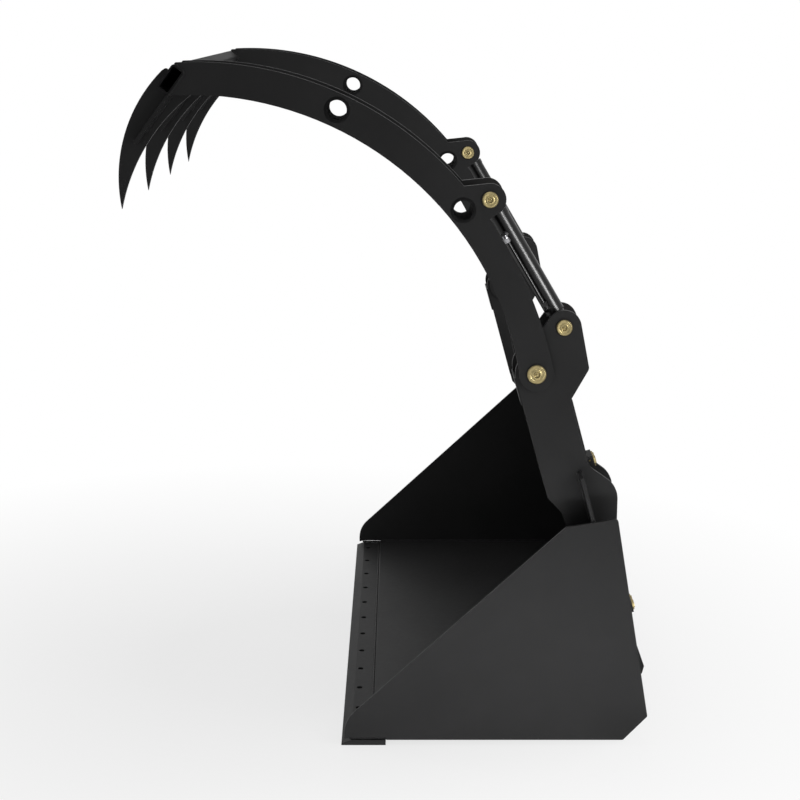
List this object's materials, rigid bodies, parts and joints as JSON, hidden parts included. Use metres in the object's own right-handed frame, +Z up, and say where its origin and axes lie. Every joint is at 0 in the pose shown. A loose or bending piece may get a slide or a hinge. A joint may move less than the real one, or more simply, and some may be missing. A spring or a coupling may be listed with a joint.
{
  "type": "hay grapple bucket",
  "caption": "Skid-steer bucket with a hydraulic grapple: two curved plate arms on leaning towers carry a cross tube with sickle tines that close over the bucket.",
  "frame": {"origin": "on the ground, mid-width, straight under the grapple's pivot axis", "axes": "+X from the bucket's mouth towards the loader, +Y to the operator's right, +Z up; the grapple stands open as pictured"},
  "size_m": [1.516, 1.829, 1.9174],
  "materials": {
    "powder_coat": "satin black powder coat",
    "zinc": "yellow zinc plate",
    "bare_steel": "oiled machined steel",
    "chrome": "hard chrome, polished"
  },
  "bodies": {
    "root": {"bucket_shell": "powder_coat", "side_plate_left": "powder_coat", "side_plate_right": "powder_coat", "cutting_edge": "powder_coat", "wear_bars": "powder_coat", "top_rail": "powder_coat", "tower_left_outer": "powder_coat", "tower_left_inner": "powder_coat", "tower_right_inner": "powder_coat", "tower_right_outer": "powder_coat", "tower_covers_left": "powder_coat", "tower_covers_right": "powder_coat", "tower_bushes_left": "bare_steel", "tower_bushes_right": "bare_steel", "base_pin_left": "zinc", "base_pin_right": "zinc", "base_pin_hardware": "zinc", "quick_attach_plate": "powder_coat", "quick_attach_lip": "powder_coat", "quick_attach_ledge": "powder_coat", "quick_attach_ribs": "powder_coat", "hose_brackets": "powder_coat", "bulkhead_fittings": "zinc"},
    "grapple": {"arm_left_outer": "powder_coat", "arm_left_inner": "powder_coat", "arm_right_inner": "powder_coat", "arm_right_outer": "powder_coat", "arm_spacers_left": "powder_coat", "arm_spacers_right": "powder_coat", "cross_tube": "powder_coat", "tine_1": "powder_coat", "tine_2": "powder_coat", "tine_3": "powder_coat", "tine_4": "powder_coat", "tine_stiffeners": "powder_coat", "pivot_pin_left": "zinc", "pivot_pin_right": "zinc", "rod_pin_left": "zinc", "rod_pin_right": "zinc", "grapple_pin_hardware": "zinc"},
    "barrel_left": {"barrel_left": "powder_coat", "base_eye_left": "powder_coat", "gland_left": "powder_coat", "port_fittings_left": "powder_coat", "hard_line_left": "powder_coat"},
    "rod_left": {"rod_left": "chrome", "piston_left": "bare_steel"},
    "rod_eye_left": {"rod_eye_left": "powder_coat"},
    "barrel_right": {"barrel_right": "powder_coat", "base_eye_right": "powder_coat", "gland_right": "powder_coat", "port_fittings_right": "powder_coat", "hard_line_right": "powder_coat"},
    "rod_right": {"rod_right": "chrome", "piston_right": "bare_steel"},
    "rod_eye_right": {"rod_eye_right": "powder_coat"}
  },
  "joints": [
    {"name": "grapple_hinge", "type": "hinge", "parent": "root", "child": "grapple", "pos_m": [0, 0, 1.072], "axis": [0, -1, 0], "range_deg": [0, 80]},
    {"name": "cylinder_swing_left", "type": "hinge", "parent": "root", "child": "barrel_left", "pos_m": [0.075, -0.761, 1.2], "axis": [0, -1, 0], "range_deg": [0, 76.6]},
    {"name": "rod_slide_left", "type": "slide", "parent": "barrel_left", "child": "rod_left", "axis": [-0.5095, 0, 0.8605], "range_m": [0, 0.189]},
    {"name": "rod_eye_pivot_left", "type": "hinge", "parent": "grapple", "child": "rod_eye_left", "pos_m": [-0.134, -0.761, 1.553], "axis": [0, -1, 0], "range_deg": [-3.5, 0]},
    {"name": "cylinder_swing_right", "type": "hinge", "parent": "root", "child": "barrel_right", "pos_m": [0.075, 0.761, 1.2], "axis": [0, -1, 0], "range_deg": [0, 76.6]},
    {"name": "rod_slide_right", "type": "slide", "parent": "barrel_right", "child": "rod_right", "axis": [-0.5095, 0, 0.8605], "range_m": [0, 0.189]},
    {"name": "rod_eye_pivot_right", "type": "hinge", "parent": "grapple", "child": "rod_eye_right", "pos_m": [-0.134, 0.761, 1.553], "axis": [0, -1, 0], "range_deg": [-3.5, 0]}
  ],
  "couplings": [
    {"joint": "cylinder_swing_left", "follows": "grapple_hinge", "ratio": 0.95645},
    {"joint": "rod_slide_left", "follows": "grapple_hinge", "m_per_rad": 0.13488},
    {"joint": "rod_eye_pivot_left", "follows": "grapple_hinge", "ratio": -0.04355},
    {"joint": "cylinder_swing_right", "follows": "grapple_hinge", "ratio": 0.95645},
    {"joint": "rod_slide_right", "follows": "grapple_hinge", "m_per_rad": 0.13488},
    {"joint": "rod_eye_pivot_right", "follows": "grapple_hinge", "ratio": -0.04355}
  ]
}
